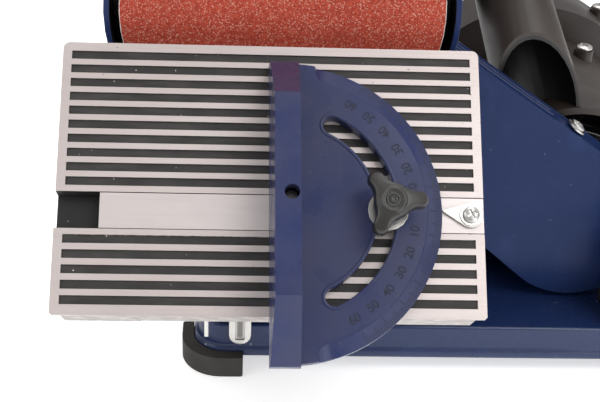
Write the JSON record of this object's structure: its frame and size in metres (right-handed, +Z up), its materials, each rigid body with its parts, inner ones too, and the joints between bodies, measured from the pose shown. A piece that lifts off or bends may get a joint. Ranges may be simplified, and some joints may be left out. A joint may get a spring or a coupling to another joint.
{
  "type": "belt disc sander",
  "caption": "Bench sander with an upright swinging belt arm, a sanding disc in a round guard, and a tilting grooved table with a sliding mitre gauge.",
  "frame": {"origin": "centre of the bounding box at floor level, under the rubber feet", "axes": "+Z up; the sanding disc and the table face -Y; the motor is on the +X side; the belt arm stands along +Z"},
  "size_m": [0.335, 0.3291, 0.5917],
  "materials": {
    "navy_paint": "satin navy paint",
    "head_plastic": "moulded, slightly glossy",
    "black_plastic": "fine moulded texture",
    "switch_red": "gloss",
    "rubber": "matt",
    "motor_black": "black enamel",
    "cast_aluminium": "machined casting",
    "table_aluminium": "milled top with black painted grooves",
    "steel": "turned",
    "zinc_plate": "zinc plated",
    "abrasive": "red-brown grit"
  },
  "bodies": {
    "base": {"base_tray": "navy_paint", "foot_front_left": "rubber", "foot_front_right": "rubber", "foot_rear_left": "rubber", "foot_rear_right": "rubber", "frame_upright": "navy_paint", "bearing_block": "steel", "main_bearing_front": "steel", "main_bearing_rear": "steel", "drive_belt": "rubber", "disc_guard": "navy_paint", "drive_cover": "navy_paint", "drive_housing_plate": "navy_paint", "drive_cover_screw": "steel", "motor_front_bell": "motor_black", "motor_stator": "motor_black", "motor_rear_bell": "motor_black", "motor_cover": "black_plastic", "motor_cover_screw_1": "steel", "motor_cover_screw_2": "steel", "dust_hood": "black_plastic", "switch_box": "black_plastic", "cable_gland": "black_plastic", "table_support_left": "zinc_plate", "table_support_right": "zinc_plate"},
    "disc_and_drum": {"main_shaft": "steel", "drum_pulley": "cast_aluminium", "drive_drum": "cast_aluminium", "disc_plate": "cast_aluminium", "abrasive_disc": "abrasive"},
    "motor_rotor": {"motor_shaft": "steel", "motor_pulley": "cast_aluminium", "cooling_fan": "black_plastic"},
    "belt_arm": {"arm_frame": "navy_paint", "platen": "steel", "sanding_belt": "abrasive", "work_stop": "navy_paint", "tension_spring": "steel"},
    "arm_lock": {"arm_lock_knob": "black_plastic"},
    "idler_slider": {"idler_carriage": "steel", "idler_axle": "steel"},
    "idler": {"idler_roller": "cast_aluminium"},
    "lever": {"tension_lever": "zinc_plate"},
    "tracking": {"tracking_knob": "black_plastic"},
    "rocker": {"switch_rocker": "switch_red"},
    "tilting_table": {"table": "table_aluminium", "table_quadrant": "zinc_plate", "hinge_pin_left": "steel", "hinge_pin_right": "steel"},
    "table_lock": {"table_lock_knob": "black_plastic"},
    "gauge_bar": {"mitre_bar": "table_aluminium", "mitre_pivot_pin": "steel", "clamp_stud": "steel", "clamp_washer": "zinc_plate", "pointer": "zinc_plate", "pointer_screw": "steel"},
    "gauge_head": {"mitre_head": "head_plastic"},
    "gauge_knob": {"wing_knob": "black_plastic"}
  },
  "joints": [
    {"name": "disc_spin", "type": "hinge", "parent": "base", "child": "disc_and_drum", "pos_m": [-0.0685, -0.0395, 0.195], "axis": [0, 1, 0], "continuous": true},
    {"name": "motor_spin", "type": "hinge", "parent": "base", "child": "motor_rotor", "pos_m": [0.0925, -0.0395, 0.071], "axis": [0, 1, 0], "continuous": true},
    {"name": "arm_swing", "type": "hinge", "parent": "base", "child": "belt_arm", "pos_m": [-0.0685, 0.0135, 0.195], "axis": [0, -1, 0], "range_deg": [0, 90]},
    {"name": "arm_lock_turn", "type": "hinge", "parent": "belt_arm", "child": "arm_lock", "pos_m": [-0.1185, 0.0135, 0.195], "axis": [1, 0, 0], "range_deg": [-180, 180]},
    {"name": "idler_slide", "type": "slide", "parent": "belt_arm", "child": "idler_slider", "axis": [0, 0, 1], "range_m": [-0.008, 0], "deforming": ["tension_spring"]},
    {"name": "lever_turn", "type": "hinge", "parent": "belt_arm", "child": "lever", "pos_m": [-0.0845, 0.0045, 0.4994], "axis": [0, -1, 0], "range_deg": [0, 80]},
    {"name": "idler_spin", "type": "hinge", "parent": "idler_slider", "child": "idler", "pos_m": [-0.0685, 0.0765, 0.5614], "axis": [0, 1, 0], "continuous": true},
    {"name": "tracking_turn", "type": "hinge", "parent": "idler_slider", "child": "tracking", "pos_m": [-0.1085, 0.0185, 0.572], "axis": [1, 0, 0], "range_deg": [-180, 180]},
    {"name": "rocker_press", "type": "hinge", "parent": "base", "child": "rocker", "pos_m": [0.1325, -0.0445, 0.053], "axis": [-1, 0, 0], "range_deg": [0, 12]},
    {"name": "table_tilt", "type": "hinge", "parent": "base", "child": "tilting_table", "pos_m": [-0.0685, -0.0475, 0.172], "axis": [-1, 0, 0], "range_deg": [0, 45]},
    {"name": "table_lock_turn", "type": "hinge", "parent": "base", "child": "table_lock", "pos_m": [-0.1185, -0.07962, 0.10312], "axis": [1, 0, 0], "range_deg": [-180, 180]},
    {"name": "gauge_slide", "type": "slide", "parent": "tilting_table", "child": "gauge_bar", "axis": [1, 0, 0], "range_m": [-0.075, 0.045]},
    {"name": "gauge_swivel", "type": "hinge", "parent": "gauge_bar", "child": "gauge_head", "pos_m": [-0.0658, -0.10852, 0.13078], "axis": [0, -0.7071, 0.7071], "range_deg": [-60, 60]},
    {"name": "gauge_knob_turn", "type": "hinge", "parent": "gauge_bar", "child": "gauge_knob", "pos_m": [-0.0228, -0.10852, 0.13078], "axis": [0, -0.7071, 0.7071], "range_deg": [-180, 180]}
  ],
  "couplings": [
    {"joint": "motor_spin", "follows": "disc_spin", "ratio": 1},
    {"joint": "idler_spin", "follows": "disc_spin", "ratio": 1},
    {"joint": "lever_turn", "follows": "idler_slide", "rad_per_m": -174.53}
  ]
}
